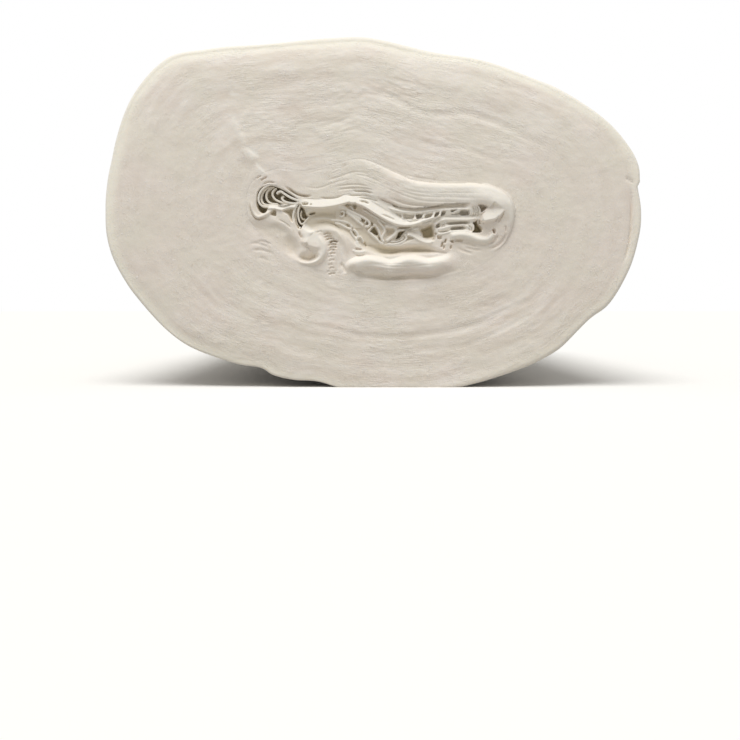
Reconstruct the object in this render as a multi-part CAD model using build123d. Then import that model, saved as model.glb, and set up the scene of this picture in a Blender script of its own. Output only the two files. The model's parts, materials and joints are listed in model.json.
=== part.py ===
"""A coreless toilet paper roll, squashed flat and lying on its broad side.

The roll is one continuous sheet of tissue, wound with no tube and pressed into an oval, so it is one
solid. Its section is the same from end to end: an uneven oval outside, with the free edge of the last
turn as a small step, and a crumpled middle, where the first turns have folded up and left narrow gaps
between them. The cut ends show the turns as a spiral. Round the crumple, some bundles of turns have
slipped along the roll, so that they stand proud of the near end, and one has sunk into a channel.

Units are millimetres. +Z is up, the winding axis runs along Y, and the end that faces the viewer is at
-Y. The origin is at the middle of the underside.
"""

from build123d import *
import os

# Driving sizes
roll_width = 110.0  # across the squashed oval, along X
roll_height = 72.0  # from the rest spot to the top
roll_length = 138.0  # the sheet's width, along Y
rest_depth = 1.1  # how far the underside is pressed flat
rim_bevel = 1.2  # how far the rims of the cut ends are crushed over
tail_step = 0.7  # thickness of the loose last turn where it ends

core_width = 54.6  # the crumpled middle, along X
core_height = 24.6  # the crumpled middle, along Z
core_right = 1.4  # how far the crumpled middle lies right of the roll's middle
core_down = 0.9  # how far it lies below the roll's middle

turn_count = 4  # turns of the groove that marks the layers of sheets
groove_width = 0.5
groove_depth = 0.8
core_margin = 2.6  # plain paper between the crumpled middle and the groove
rim_margin = 5.0  # plain paper between the groove and the outside

bundle_height = 1.4  # how far the slipped bundles stand proud of the near end
bundle_bevel = 0.3  # the bevel of their edges, as a share of their width
lip_width = 2.4  # the bundle that arches over the crumple
sausage_width = 3.0  # the thick bundle under it
curl_width = 1.8  # the bundle that curls up beside the thick one
channel_width = 2.0  # the sunk bundle between the lip and the thick one
channel_depth = 1.2

# Shares of half the width and half the height, in hundredths, counter-clockwise from the free edge:
# a point of the crumpled middle's rim, then the point of the outside that the turns bring it to.
turn_stations = [
    ((100, 15), (99, 19)),
    ((99, 30), (99, 27)),
    ((95, 44), (94, 38)),
    ((87, 55), (87, 52)),
    ((68, 63), (74, 68)),
    ((45, 63), (59, 78)),
    ((23, 73), (40, 88)),
    ((4, 88), (21, 94)),
    ((-15, 100), (0, 100)),
    ((-33, 90), (-20, 99)),
    ((-56, 82), (-41, 97)),
    ((-75, 85), (-62, 95)),
    ((-88, 78), (-79, 85)),
    ((-97, 60), (-91, 63)),
    ((-100, 35), (-98, 28)),
    ((-99, 10), (-100, -2)),
    ((-95, -12), (-97, -25)),
    ((-84, -35), (-87, -47)),
    ((-69, -63), (-72, -71)),
    ((-52, -78), (-52, -85)),
    ((-33, -93), (-29, -94)),
    ((-11, -98), (-8, -99)),
    ((15, -100), (10, -100)),
    ((45, -97), (28, -98)),
    ((72, -82), (49, -90)),
    ((88, -55), (68, -76)),
    ((95, -35), (84, -54)),
    ((99, -18), (94, -33)),
    ((101, -2), (99, -12)),
]

# The slipped and sunk bundles, by points along them, in shares of the crumpled middle.
lip_path = [(-50, 74), (-33, 86), (-15, 96), (4, 83), (24, 63), (53, 58), (79, 57), (96, 36), (98, -10), (74, -66)]
sausage_path = [(-26, -60), (-10, -72), (12, -78), (34, -74), (52, -66)]
curl_path = [(-72, -42), (-64, -62), (-51, -71), (-42, -58), (-44, -38), (-58, -32)]
channel_path = [(-52, -16), (-40, 4), (-27, -12), (-14, -36), (6, -50), (34, -50)]

# Gaps between two folds, in shares of the crumpled middle: the two tips, then how far the gap bows to
# the left on the way from one to the other and how wide it is, in hundredths of its length.
fold_gaps = [
    ((-81, 53), (-82, 27), -46, 27),
    ((-76, 52), (-76, 27), -46, 24),
    ((-73, 49), (-67, 28), -36, 22),
    ((-93, 22), (-84, 17), -38, 30),
    ((-62, 17), (-60, -17), -14, 10),
    ((-60, 26), (-55, -3), -11, 16),
    ((-54, 16), (-45, 19), 0, 24),
    ((-29, 24), (-18, 22), 16, 28),
    ((-23, 14), (-15, 2), 8, 30),
    ((-12, 0), (-7, -10), 8, 40),
    ((-5, -12), (-1, -26), 6, 45),
    ((2, -10), (4, -34), -12, 20),
    ((13, 10), (26, 1), -10, 26),
    ((28, 6), (40, 8), -20, 28),
    ((43, 7), (57, 13), 8, 18),
    ((60, 12), (69, 12), 0, 34),
    ((50, -7), (62, -4), 8, 18),
    ((57, -16), (67, -12), 8, 24),
    ((41, -14), (45, -10), 0, 60),
    ((85, -14), (86, -25), -8, 30),
]

# Wider pockets between the folds, by their corners, in shares of the crumpled middle.
pockets = [
    [(-73, 16), (-65, 19), (-66, -3)],
    [(5, -14), (12, -15), (10, -29), (5, -27)],
    [(15, -19), (20, -19), (16, -33), (13, -31)],
    [(31, -16), (39, -11), (41, -30), (33, -31)],
    [(72, -2), (75, -12), (78, -17), (76, -23), (71, -22)],
    [(73, 24), (82, 22), (76, 9)],
]

half_height = (roll_height + rest_depth) / 2


def roll_point(share_x, share_z):
    """A point of the outside, from its shares in hundredths."""
    return Vector(share_x * roll_width / 200, share_z * half_height / 100)


def core_point(share_x, share_z):
    """A point of the crumpled middle, from its shares in hundredths."""
    return Vector(core_right + share_x * core_width / 200, share_z * core_height / 200 - core_down)


def smooth_arcs(line, spans, shift=0.0):
    """Tangent arcs that follow a curve at a distance to its left, two for each span of the curve."""
    places = [i / spans for i in range(spans + 1)]
    ways = [line % place for place in places]
    points = [line @ place + Vector(-way.Y, way.X) * shift for place, way in zip(places, ways)]
    arcs = []
    for start, end, way_out, way_in in zip(points, points[1:], ways, ways[1:]):
        step = end - start
        turn = 2 * (1 - way_out.dot(way_in))
        along = 2 * step.dot(way_out + way_in)
        reach = step.dot(step) / along
        if turn > 1e-6:
            reach = ((along**2 + 4 * turn * step.dot(step)) ** 0.5 - along) / (2 * turn)
        joint = (start + way_out * reach + end - way_in * reach) / 2
        arcs.append(TangentArc(start, joint, tangent=way_out))
        arcs.append(TangentArc(end, joint, tangent=-way_in))
    return arcs


def band(line, width, spans):
    """A strip of one width with round ends that follows a curve."""
    left = smooth_arcs(line, spans, width / 2)
    right = smooth_arcs(line, spans, -width / 2)
    first_tip = line @ 0 - (line % 0) * (width / 2)
    last_tip = line @ 1 + (line % 1) * (width / 2)
    first_end = ThreePointArc(right[0] @ 0, first_tip, left[0] @ 0)
    last_end = ThreePointArc(right[-1] @ 0, last_tip, left[-1] @ 0)
    return make_face(left + right + [first_end, last_end])


def outside_face():
    """The section's outer face: the last turn, a sheet thinner once it has gone all the way round."""
    points = []
    for i, (_, share) in enumerate(turn_stations + turn_stations[:1]):
        point = roll_point(*share)
        points.append(point - point.normalized() * (tail_step * i / len(turn_stations)))
    free_edge = Line(points[-1], points[0])
    return make_face(smooth_arcs(Spline(*points), 14) + [free_edge])


def bevelled_envelope():
    """A smooth solid just outside the roll whose rims are crushed over."""
    margin = 0.04
    points = [roll_point(*share) for _, share in turn_stations]
    line = Spline(*[point + point.normalized() * margin for point in points], periodic=True)
    solid = extrude(Plane.XZ * make_face(smooth_arcs(line, 12)), roll_length / 2, both=True)
    ends = solid.faces().sort_by(Axis.Y)
    return chamfer(ends[0].edges() + ends[-1].edges(), rim_bevel)


def turn_groove():
    """The spiral groove of the near end, as a solid to cut."""
    stations = len(turn_stations)
    points = []
    for i in range(turn_count * stations + 1):
        inner_share, outer_share = turn_stations[i % stations]
        inner = core_point(*inner_share)
        way_out = roll_point(*outer_share) - inner
        room = way_out.length - core_margin - rim_margin
        points.append(inner + way_out.normalized() * (core_margin + room * i / (turn_count * stations)))
    face = band(Spline(*points), groove_width, 9 * turn_count)
    return extrude(Plane.XZ.offset(roll_length / 2 - groove_depth) * face, groove_depth + 1)


def core_line(path):
    """A smooth line through points of the crumpled middle."""
    return Spline(*[core_point(*share) for share in path])


def slipped_bundle(path, width):
    """A bundle of turns that stands proud of the near end."""
    face = band(core_line(path), width, len(path))
    solid = extrude(Plane.XZ * face, roll_length / 2 + bundle_height)
    near_end = solid.faces().sort_by(Axis.Y)[0]
    return chamfer(near_end.edges(), bundle_bevel * width)


def sunk_channel():
    """The channel of the near end, as a solid to cut."""
    face = band(core_line(channel_path), channel_width, len(channel_path))
    return extrude(Plane.XZ.offset(roll_length / 2 - channel_depth) * face, channel_depth + 1)


def fold_gap(start, end, bow, width):
    """A narrow gap between two folds, as a face."""
    first = core_point(*start)
    last = core_point(*end)
    way = last - first
    leftwards = Vector(-way.Y, way.X) / 100
    middle = (first + last) / 2
    left_side = ThreePointArc(first, middle + leftwards * (bow + width / 2), last)
    right_side = ThreePointArc(last, middle + leftwards * (bow - width / 2), first)
    return make_face(left_side + right_side)


def pocket(corners):
    """A wider pocket between the folds, as a face."""
    return make_face(Polyline(*[core_point(*corner) for corner in corners], close=True))


def through_gaps():
    """All gaps and pockets, which run from end to end, as solids to cut."""
    faces = [fold_gap(*gap) for gap in fold_gaps] + [pocket(corners) for corners in pockets]
    return [extrude(Plane.XZ * face, roll_length, both=True) for face in faces]


roll = extrude(Plane.XZ * outside_face(), roll_length / 2, both=True) & bevelled_envelope()
for path, width in [(lip_path, lip_width), (sausage_path, sausage_width), (curl_path, curl_width)]:
    roll += slipped_bundle(path, width)
groove = turn_groove()
roll -= [groove, mirror(groove, about=Plane.XZ), sunk_channel()]
roll -= through_gaps()

below = Pos(0, 0, rest_depth - half_height) * Box(
    roll_width, roll_length + 1, roll_height, align=(Align.CENTER, Align.CENTER, Align.MAX)
)
roll = Pos(0, bundle_height / 2, half_height - rest_depth) * (roll - below)

os.makedirs("parts", exist_ok=True)
export_step(roll, "parts/paper_roll.step")
print(roll.bounding_box(), roll.volume, len(roll.solids()), roll.is_valid)
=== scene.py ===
# %% [markdown]
# # A coreless toilet paper roll, lying on its broad side
#
# The real object is one sheet of soft tissue, wound tightly with no tube and pressed flat for packing.
# All that we look at is tissue, so the looks come from its shape: the cut end shows the edges of some
# hundred turns, and in the middle the first turns have folded up into beads, loops and narrow gaps.
#
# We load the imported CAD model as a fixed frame. It gives the place and the size, and our meshes stand in
# for its one rigid solid.

# %% Load the frame
import json
import math

import bpy
import numpy as np
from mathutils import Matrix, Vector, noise

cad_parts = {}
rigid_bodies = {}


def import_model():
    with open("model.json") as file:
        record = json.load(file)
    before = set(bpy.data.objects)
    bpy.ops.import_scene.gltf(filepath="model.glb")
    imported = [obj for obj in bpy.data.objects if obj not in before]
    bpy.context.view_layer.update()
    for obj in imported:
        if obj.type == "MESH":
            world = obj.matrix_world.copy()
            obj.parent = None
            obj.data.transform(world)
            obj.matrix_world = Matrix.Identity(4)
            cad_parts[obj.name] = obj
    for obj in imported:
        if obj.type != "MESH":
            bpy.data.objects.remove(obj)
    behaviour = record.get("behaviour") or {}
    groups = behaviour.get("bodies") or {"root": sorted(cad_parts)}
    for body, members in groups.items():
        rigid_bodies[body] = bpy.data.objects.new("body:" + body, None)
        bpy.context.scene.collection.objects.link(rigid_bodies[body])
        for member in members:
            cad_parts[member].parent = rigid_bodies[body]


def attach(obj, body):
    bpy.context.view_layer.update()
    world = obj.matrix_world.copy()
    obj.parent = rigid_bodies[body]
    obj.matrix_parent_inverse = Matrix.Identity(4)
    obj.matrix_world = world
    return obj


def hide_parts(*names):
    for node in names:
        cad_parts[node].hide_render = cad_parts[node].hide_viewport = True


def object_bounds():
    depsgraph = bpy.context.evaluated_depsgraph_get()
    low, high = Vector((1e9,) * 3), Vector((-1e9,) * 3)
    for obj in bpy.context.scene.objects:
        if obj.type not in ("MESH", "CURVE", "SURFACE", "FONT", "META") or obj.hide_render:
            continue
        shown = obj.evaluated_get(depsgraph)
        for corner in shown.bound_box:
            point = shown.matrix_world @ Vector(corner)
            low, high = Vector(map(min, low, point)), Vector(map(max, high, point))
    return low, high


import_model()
cad_low, cad_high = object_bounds()
print("CAD box in metres:", [round(v, 4) for v in cad_low], [round(v, 4) for v in cad_high])

# %% [markdown]
# ## From the photograph to millimetres
#
# The near end faces the camera squarely, so one scale turns a pixel on it into millimetres across and
# up. The places of folds are read off the photograph, and all sizes are written in millimetres.
#
# A fold is soft, so a few pixels and a smooth curve through them describe it. We use a Catmull-Rom
# curve, because it passes through each of its points. Pixels are listed as x, y, x, y and so on.

# %% Places on the near end
MM = 0.001
photo_scale = 0.2045  # millimetres for one pixel of the photograph, at the near end
photo_middle = (372.5, 214.5)  # the pixel at the middle of the near end
middle_height = 35.45  # how high that pixel is above the floor, in millimetres
bundle_height = 1.4  # how far the slipped bundles stand proud, as in the CAD solid
near_end = cad_low.y / MM + bundle_height  # the plane of the cut end that faces us
far_end = cad_high.y / MM


def place(pixels):
    """Pixels of the photograph in millimetres across and up on the near end."""
    across, down = ((np.reshape(pixels, (-1, 2)) - photo_middle) * photo_scale).T
    return np.stack([across, middle_height - down], -1)


def smooth_line(pixels, steps=8, closed=False):
    """A Catmull-Rom curve through pixels, as short straight steps in millimetres."""
    points = place(pixels)
    before, after = 2 * points[:1] - points[1:2], 2 * points[-1:] - points[-2:-1]
    if closed:
        before, after = points[-1:], points[:2]
    padded = np.concatenate([before, points, after])
    a, b, c, d = (padded[i : len(padded) - 3 + i, None] for i in range(4))
    t = (np.arange(steps) / steps)[None, :, None]
    line = b + 0.5 * t * (c - a + t * (2 * a - 5 * b + 4 * c - d + t * (3 * (b - c) + d - a)))
    line = line.reshape(-1, 2)
    return line if closed else np.concatenate([line, points[-1:]])


def smooth_step(low, high, value):
    """0 below low, 1 above high, and a soft ramp between them."""
    share = np.clip((value - low) / (high - low), 0, 1)
    return share * share * (3 - 2 * share)


def faded(along, start, end):
    """1 along a line, and fading to 0 over a share of it at its start and at its end."""
    return smooth_step(0, start, along) * smooth_step(0, end, 1 - along)


print("near end at y =", round(near_end, 2), "mm, far end at y =", round(far_end, 2), "mm")

# %% [markdown]
# ## The turns
#
# Each turn is a loop round the crumpled middle. The innermost has the middle's wavy outline, the
# outermost the roll's, and the turns between change from one to the other bit by bit. So we need only
# pairs: a place on the middle's rim, and the place outside that the turns bring it to.
#
# The pairs start at the free edge of the sheet, at the right, and go round over the top. The last pair
# is back at the free edge, one sheet lower, so the edge is a small step along the whole roll.

# %% Pairs of the middle's rim and the outside
turn_pairs = [
    # a pixel on the middle's rim, and the pixel outside that belongs to it
    (513, 212, 639.5, 181), (511, 202, 638.5, 164), (505, 193, 630, 146), (495, 187, 608.6, 121),
    (470, 181, 571, 95.5), (440, 180, 528.4, 76), (410, 175, 480, 58.8), (385, 166, 427, 50.5),
    (360, 158, 370, 37), (335, 163, 331, 37.6), (305, 170, 265.6, 42), (280, 168, 205, 47.6),
    (262, 173, 163, 58), (250, 184, 126.6, 102), (246, 198, 110, 165), (247, 213, 105.5, 218),
    (253, 226, 114, 257), (267, 241, 139.5, 296.5), (288, 257, 179, 337.5), (310, 267, 232, 359.5),
    (322, 271.5, 261, 364.5), (328, 274, 274.5, 372), (335, 276, 295, 376.5), (348, 278, 317, 378.5),
    (365, 279, 350, 388), (400, 280, 400, 391), (440, 278, 448, 387), (475, 269, 505, 371.5),
    (494, 257, 554, 349), (500, 250.5, 589, 316.5), (505, 243, 609, 300.5), (510, 234, 629, 267),
    (513.5, 224, 638.5, 235), (514, 217, 640, 210), (513, 212, 637, 186),
]
inner_pixels, outer_pixels = np.hsplit(np.array(turn_pairs), 2)
rim_line, outside_line = smooth_line(inner_pixels, 24), smooth_line(outer_pixels, 24)
roll_width, roll_height = np.ptp(outside_line, axis=0)
print("the outline is", round(roll_width, 1), "by", round(roll_height, 1), "mm")

# %% [markdown]
# ## Relief of the cut end
#
# Light comes from above, so a slope that faces up is bright, and one that faces down, or a gap, is dark.
# We model the end as a relief: a function that gives, for any place on it, how far the paper stands
# proud of the plane of the cut. Both the body and the crumpled middle ask the same function, so they
# meet without a seam.
#
# The tool is the distance from a place to a line, with the side it is on. A bead, a groove or a step is
# then a profile across that line.


# %% Distance to a line
outer_slope = 0.3  # the share of a hollow's slope that lies outside its outline


def near_line(spots, line, reach):
    """The places within reach of a line: which they are, how far, on which side and how far along."""
    low, high = line.min(0) - reach, line.max(0) + reach
    which = np.flatnonzero(((spots > low) & (spots < high)).all(1))
    spot = spots[which]
    best = np.full(len(which), reach**2, float)
    side, along = np.ones(len(which)), np.zeros(len(which))
    steps = np.diff(line, axis=0)
    lengths = np.hypot(steps[:, 0], steps[:, 1])
    passed = np.concatenate([[0], np.cumsum(lengths)])
    for start, step, length, before in zip(line, steps, lengths, passed):
        if length == 0:
            continue
        offset = spot - start
        share = np.clip((offset @ step) / length**2, 0, 1)
        gap = offset - share[:, None] * step
        square = (gap**2).sum(1)
        nearer = square < best
        best[nearer] = square[nearer]
        cross = step[0] * offset[:, 1] - step[1] * offset[:, 0]
        side[nearer] = np.sign(cross[nearer])
        along[nearer] = (before + share * length)[nearer] / passed[-1]
    return which, np.sqrt(best), side, along


def inside(spots, outline):
    """Which places are inside a closed outline."""
    result = np.zeros(len(spots), bool)
    x, z = spots[:, 0], spots[:, 1]
    for (x0, z0), (x1, z1) in zip(outline, np.roll(outline, -1, axis=0)):
        if z0 == z1:
            continue
        result ^= ((z0 > z) != (z1 > z)) & (x < (x1 - x0) * (z - z0) / (z1 - z0) + x0)
    return result


def depth_inside(spots, outline, reach):
    """How deep each place is inside a closed outline, negative outside it, up to reach."""
    closed = np.concatenate([outline, outline[:1]])
    which, distance, _, _ = near_line(spots, closed, reach)
    depth = np.full(len(spots), float(reach))
    depth[which] = distance
    return np.where(inside(spots, outline), depth, -depth)


def share_inside(spots, pixels, slope):
    """The places near an outline, and their share from 0 outside to 1 a slope's width inside it."""
    outline = smooth_line(pixels, 5, closed=True)
    near = ((spots > outline.min(0) - slope) & (spots < outline.max(0) + slope)).all(1)
    which = np.flatnonzero(near)
    depth = depth_inside(spots[which], outline, slope)
    return which, smooth_step(-outer_slope * slope, slope, depth)


# %% [markdown]
# ### Beads
#
# Bundles of turns have slipped towards us and stand proud as soft beads. A bead has a crest line, a
# height, and a width on each side of the crest, because most lean: a short slope up, then a long one.
# `crown` above 1 makes it round like a sausage, and 1 makes it a soft wave. Beads fade out at both ends,
# and some show the smooth, paler side of the sheet at their crest, which is also a painted highlight.
#
# The first width is on the left of the line's way, so a line that runs from left to right has its upper
# side first.

# %% The beads, by the pixels of their crests
lip_crest = [
    333, 173, 347, 168, 359, 165.4, 370.6, 168.4, 383.4, 174, 398.4, 181, 412.2, 186.4, 430, 188.8,
    450, 189.6, 470, 189.2, 485.6, 189.8, 496.4, 193.2, 504.6, 199, 508.8, 206.8, 509.2, 216.8,
    506.2, 229, 500.6, 239.4, 492, 247, 479, 255,
]
lip_end_crest = [466, 196.5, 478, 198, 489, 201, 498, 206, 504, 213, 505, 222]
sausage_crest = [
    352, 275, 350, 270.6, 352, 266.2, 357.6, 263.2, 365, 261.6, 372, 261.6, 380, 263.4, 389, 266.2,
    397, 264.6, 405, 261.8, 412, 261.2, 420, 262.8, 428, 264.6, 436, 263.4, 445, 261.2, 452, 258.4,
    459, 253.6,
]
arch_crest = [
    306, 230, 311, 226.8, 318, 224.8, 326, 224, 333, 226, 339, 230.6, 343.4, 237, 346.4, 245, 348, 253,
]
inner_arch_crest = [305, 223, 311, 219.4, 322, 217.6, 334, 219.6, 342, 224, 348, 231]
curl_crest = [
    302, 228, 307, 231.6, 314, 235.6, 320.6, 240.6, 324, 247.6, 322.8, 255, 317.6, 260, 310, 261.8,
    302, 260.8, 296, 257.4,
]
eye_wall_crest = [250.5, 200, 251, 207, 253, 213, 256.5, 216.6, 261, 216.6, 267, 213.8, 273, 209.5]
under_bead_crest = [
    449, 237, 456, 235.2, 464, 235, 471, 236.6, 476, 238.6, 482, 240, 487, 239.6, 491, 236.6, 492.8, 232,
    491.6, 228.6,
]
lobe_crest = [260, 222.6, 274, 221.8, 286, 226.6, 295, 236, 299, 247]
crease_crest = [230, 112, 232.6, 121, 237, 126, 238.6, 133, 243, 138, 245.4, 144, 250, 150]
crease_flap_crest = [243.6, 144.6, 246.2, 150.4, 250.6, 154, 255.4, 157.6, 262, 159]
crease_foot_crest = [254, 163, 258.6, 168.4, 263.4, 173.2, 270, 177]

beads = [
    # crest, height, width on its left, width on its right, crown, fade at its start and end, paleness
    # (smooth side and painted highlight at the crest)
    (lip_crest, 1.3, 1.2, 5.2, 4.6, 0.44, 0.30, 0.9),
    (lip_end_crest, 0.7, 3.0, 2.0, 1.0, 0.40, 0.40, 0.9),
    (sausage_crest, 1.45, 1.4, 2.6, 1.8, 0.14, 0.22, 0.9),
    (arch_crest, 0.6, 0.6, 1.9, 1.2, 0.30, 0.35, 0.0),
    (inner_arch_crest, 0.3, 0.6, 0.7, 1.2, 0.30, 0.30, 0.3),
    (curl_crest, 0.85, 0.9, 2.2, 1.5, 0.18, 0.30, 0.6),
    (eye_wall_crest, 0.4, 0.5, 0.6, 1.6, 0.20, 0.20, 0.2),
    (under_bead_crest, 0.75, 1.0, 1.1, 1.6, 0.08, 0.12, 0.9),
    (lobe_crest, 0.25, 1.2, 1.3, 1.0, 0.35, 0.25, 0.0),
    (crease_crest, 0.22, 0.8, 2.8, 1.0, 0.30, 0.25, 0.6),
    (crease_flap_crest, 0.28, 0.8, 3.0, 1.0, 0.35, 0.40, 0.8),
    (crease_foot_crest, 0.24, 0.7, 2.6, 1.0, 0.35, 0.40, 0.6),
]
# Above this share of its height a bead's crest is painted paler: its smooth side, and a painted highlight.
crest_highlight_from = 0.7  # the share of a bead's height above which its paper is paler


def add_bead(relief, pale_and_highlight, spots, crest, height, left, right, crown, fade_in, fade_out, crest_highlight):
    """Raises the relief to a soft bead."""
    which, distance, side, along = near_line(spots, smooth_line(crest), max(left, right))
    share = np.clip(distance / np.where(side > 0, left, right), 0, 1)
    lift = np.cos(share * math.pi / 2) ** (2 / crown) * faded(along, fade_in, fade_out)
    relief[which] += height * lift
    # paler at the crest: smooth side and painted highlight
    pale_and_highlight[which] = np.maximum(pale_and_highlight[which], crest_highlight * smooth_step(crest_highlight_from, 1.0, lift))


print(len(beads), "beads")

# %% [markdown]
# ### Sunk floors and gaps
#
# Between the beads the folds leave hollows. The large ones have a sloping floor with sheets on it, the
# small ones are plain gaps, which look dark because little light gets in. Each is an outline with a
# depth and the width of its slope. The paper is pale and thin, so the real gaps are a warm brown and not
# black. A gap two to three times as deep as it is wide gives that.
#
# The floors are sunk before the folds that stand on them are put in, and the gaps are cut after them.

# %% The hollows, by the pixels of their outlines
floors = [
    # outline, depth, width of its slope
    ([302, 224, 306, 214, 316, 209.5, 330, 208, 343, 207, 352, 211, 360, 218, 368, 227, 376, 236,
     386, 244, 398, 247, 410, 246, 420, 245, 430, 246.5, 440, 250, 446, 253.5, 432, 253.8, 418, 253,
     404, 253, 392, 255, 380, 253.5, 370, 251, 362, 249, 354, 243, 347, 236, 338, 231, 327, 229, 316, 231,
     307, 230], 1.05, 1.2),
    ([345, 205, 356, 203, 368, 208, 380, 216, 392, 224, 400, 229, 414, 227, 424, 224, 434, 224, 436, 238,
     428, 241, 416, 239, 406, 242, 400, 245, 388, 245, 378, 242, 370, 233, 362, 224, 353, 214], 0.9, 0.5),
    ([258, 191, 263, 186.5, 271, 185, 279, 187, 288, 192.5, 297, 199, 294, 203, 284, 204, 272, 205,
     268, 208, 265, 212.5, 260, 212, 256.5, 206, 256.5, 198], 3.3, 0.35),
    ([296.5, 206, 300, 204.5, 304, 208, 306.5, 214, 308, 217, 304.5, 221.5, 300.5, 229, 297, 227,
     294.5, 219, 295, 212], 2.9, 0.5),
    ([286, 236, 295, 239, 301, 249, 297, 259, 288, 254, 283, 245], 0.42, 1.5),
    ([248, 221, 262, 220, 280, 220, 292, 225, 300, 240, 299, 258, 285, 256, 268, 244, 252, 232],
     0.4, 2.0),
]
gaps = [
    ([420.6, 229.6, 425, 227.3, 431.6, 225.2, 433.6, 230, 434, 235.6, 430, 237.4, 424, 237, 422.6, 233],
     2.1, 0.5),
    ([386, 228, 393.4, 228.4, 394.6, 231, 391, 235, 386.8, 236.2, 386.2, 231.6], 0.6, 0.4),
    ([398.4, 231.8, 405, 230.8, 402.4, 234, 400, 237.4, 395.8, 238.6, 397.4, 235.2], 2.4, 0.25),
    ([396, 239.6, 401, 238.2, 403, 236, 402.6, 238.6, 398.6, 240.6, 394, 241], 0.6, 0.2),
    ([370.4, 230.4, 373.8, 226.4, 376.8, 230, 378.4, 233.6, 376.4, 235], 1.9, 0.25),
    ([379, 235, 380.8, 238, 381.6, 241.4, 378.4, 239.2], 0.8, 0.2),
    ([361, 217.6, 363.8, 218.8, 365.2, 221, 363.4, 222, 361, 220], 0.9, 0.2),
    ([366.2, 220.8, 368.4, 222.4, 368.4, 224.6, 366.2, 224.4], 0.9, 0.2),
    ([370.6, 221, 373, 223.2, 373.6, 226.4, 371.6, 226], 0.8, 0.2),
    ([340.2, 212.4, 343, 212.2, 343.2, 214.4, 341, 214.8], 0.6, 0.2),
    ([344.6, 212.4, 346.6, 212.4, 346.2, 216, 344.6, 215.8], 0.6, 0.2),
    ([345.8, 223.2, 349.4, 223.4, 351, 226, 347.4, 226.6], 0.6, 0.2),
    ([351, 229.8, 353.6, 231.2, 355.6, 235.2, 353.6, 235.4], 0.6, 0.2),
    ([359.6, 237.2, 361.6, 238.6, 363, 242.4, 361, 241], 0.6, 0.2),
    ([352.6, 204, 356, 203.2, 356.2, 207.4, 354.2, 208.4], 0.8, 0.25),
    ([344, 204.6, 349.6, 202.2, 349.4, 205, 346, 206.4], 0.7, 0.25),
    ([473, 222.4, 476, 220.8, 477.4, 219.6, 478, 223, 480.4, 225.8, 482.2, 228.2, 482, 231.4,
     480.6, 232.4, 474.6, 232.4, 472.6, 231.8, 474.6, 229, 474.6, 225], 3.4, 0.3),
    ([477.6, 205, 480, 204.4, 484, 205, 487.4, 206.6, 485.4, 209.6, 481.4, 212.4, 480.4, 209.4,
     479, 206.8], 2.2, 0.35),
    ([269.5, 213.8, 275, 208.8, 276, 216], 1.5, 0.4),
    ([282.6, 210.2, 294, 208, 292.6, 222, 287.6, 215], 1.7, 0.6),
    ([403.6, 213.2, 409, 214.2, 414.2, 214.8, 414, 217.6, 412, 219, 404.2, 218.8], 1.3, 0.2),
    ([395, 212.6, 401.4, 213.6, 401.4, 218, 398, 216], 0.8, 0.3),
    ([416.4, 214.2, 422.4, 214.2, 422, 217, 420.4, 218.6, 416.6, 218.6], 2.2, 0.2),
    ([426, 214.2, 432.6, 213.2, 432, 216, 429.6, 217.8, 424.6, 218.2], 1.7, 0.2),
    ([435.8, 212.6, 439.4, 211.8, 438.8, 215, 436.6, 216.8, 434, 217.2], 2.2, 0.2),
    ([442, 211.4, 445.6, 211, 445.6, 213, 443.6, 215.4, 440.6, 215.8], 2.1, 0.2),
    ([450.6, 210.2, 457, 209.8, 455, 211.2, 451.6, 212.2], 1.5, 0.2),
    ([451, 214.4, 455, 213, 459, 211.6, 459.2, 214.8], 1.1, 0.2),
    ([460.6, 210.2, 468.6, 210.2, 469.4, 212.5, 468.6, 214.8, 460.4, 214.8], 2.6, 0.2),
    ([436.2, 224.6, 439.6, 223, 440, 226.8, 436.4, 227.8], 1.4, 0.2),
]


def sink(relief, pale_and_highlight, spots, outline, depth, slope):
    """Lowers the relief inside an outline."""
    which, share = share_inside(spots, outline, slope)
    relief[which] -= depth * share


print(len(floors), "sunk floors,", len(gaps), "gaps")

# %% [markdown]
# ### Leaning sheets and folds
#
# The white ribbons are sheets that lean back, so they face the light. Each climbs from a foot to its
# crest, the lower edge that we see, and then drops off sharply.
#
# The finer folds are edges of single sheets, two or three pixels wide. They are soft, so they are low
# round ridges of the relief, each with the level of its top.

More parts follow.
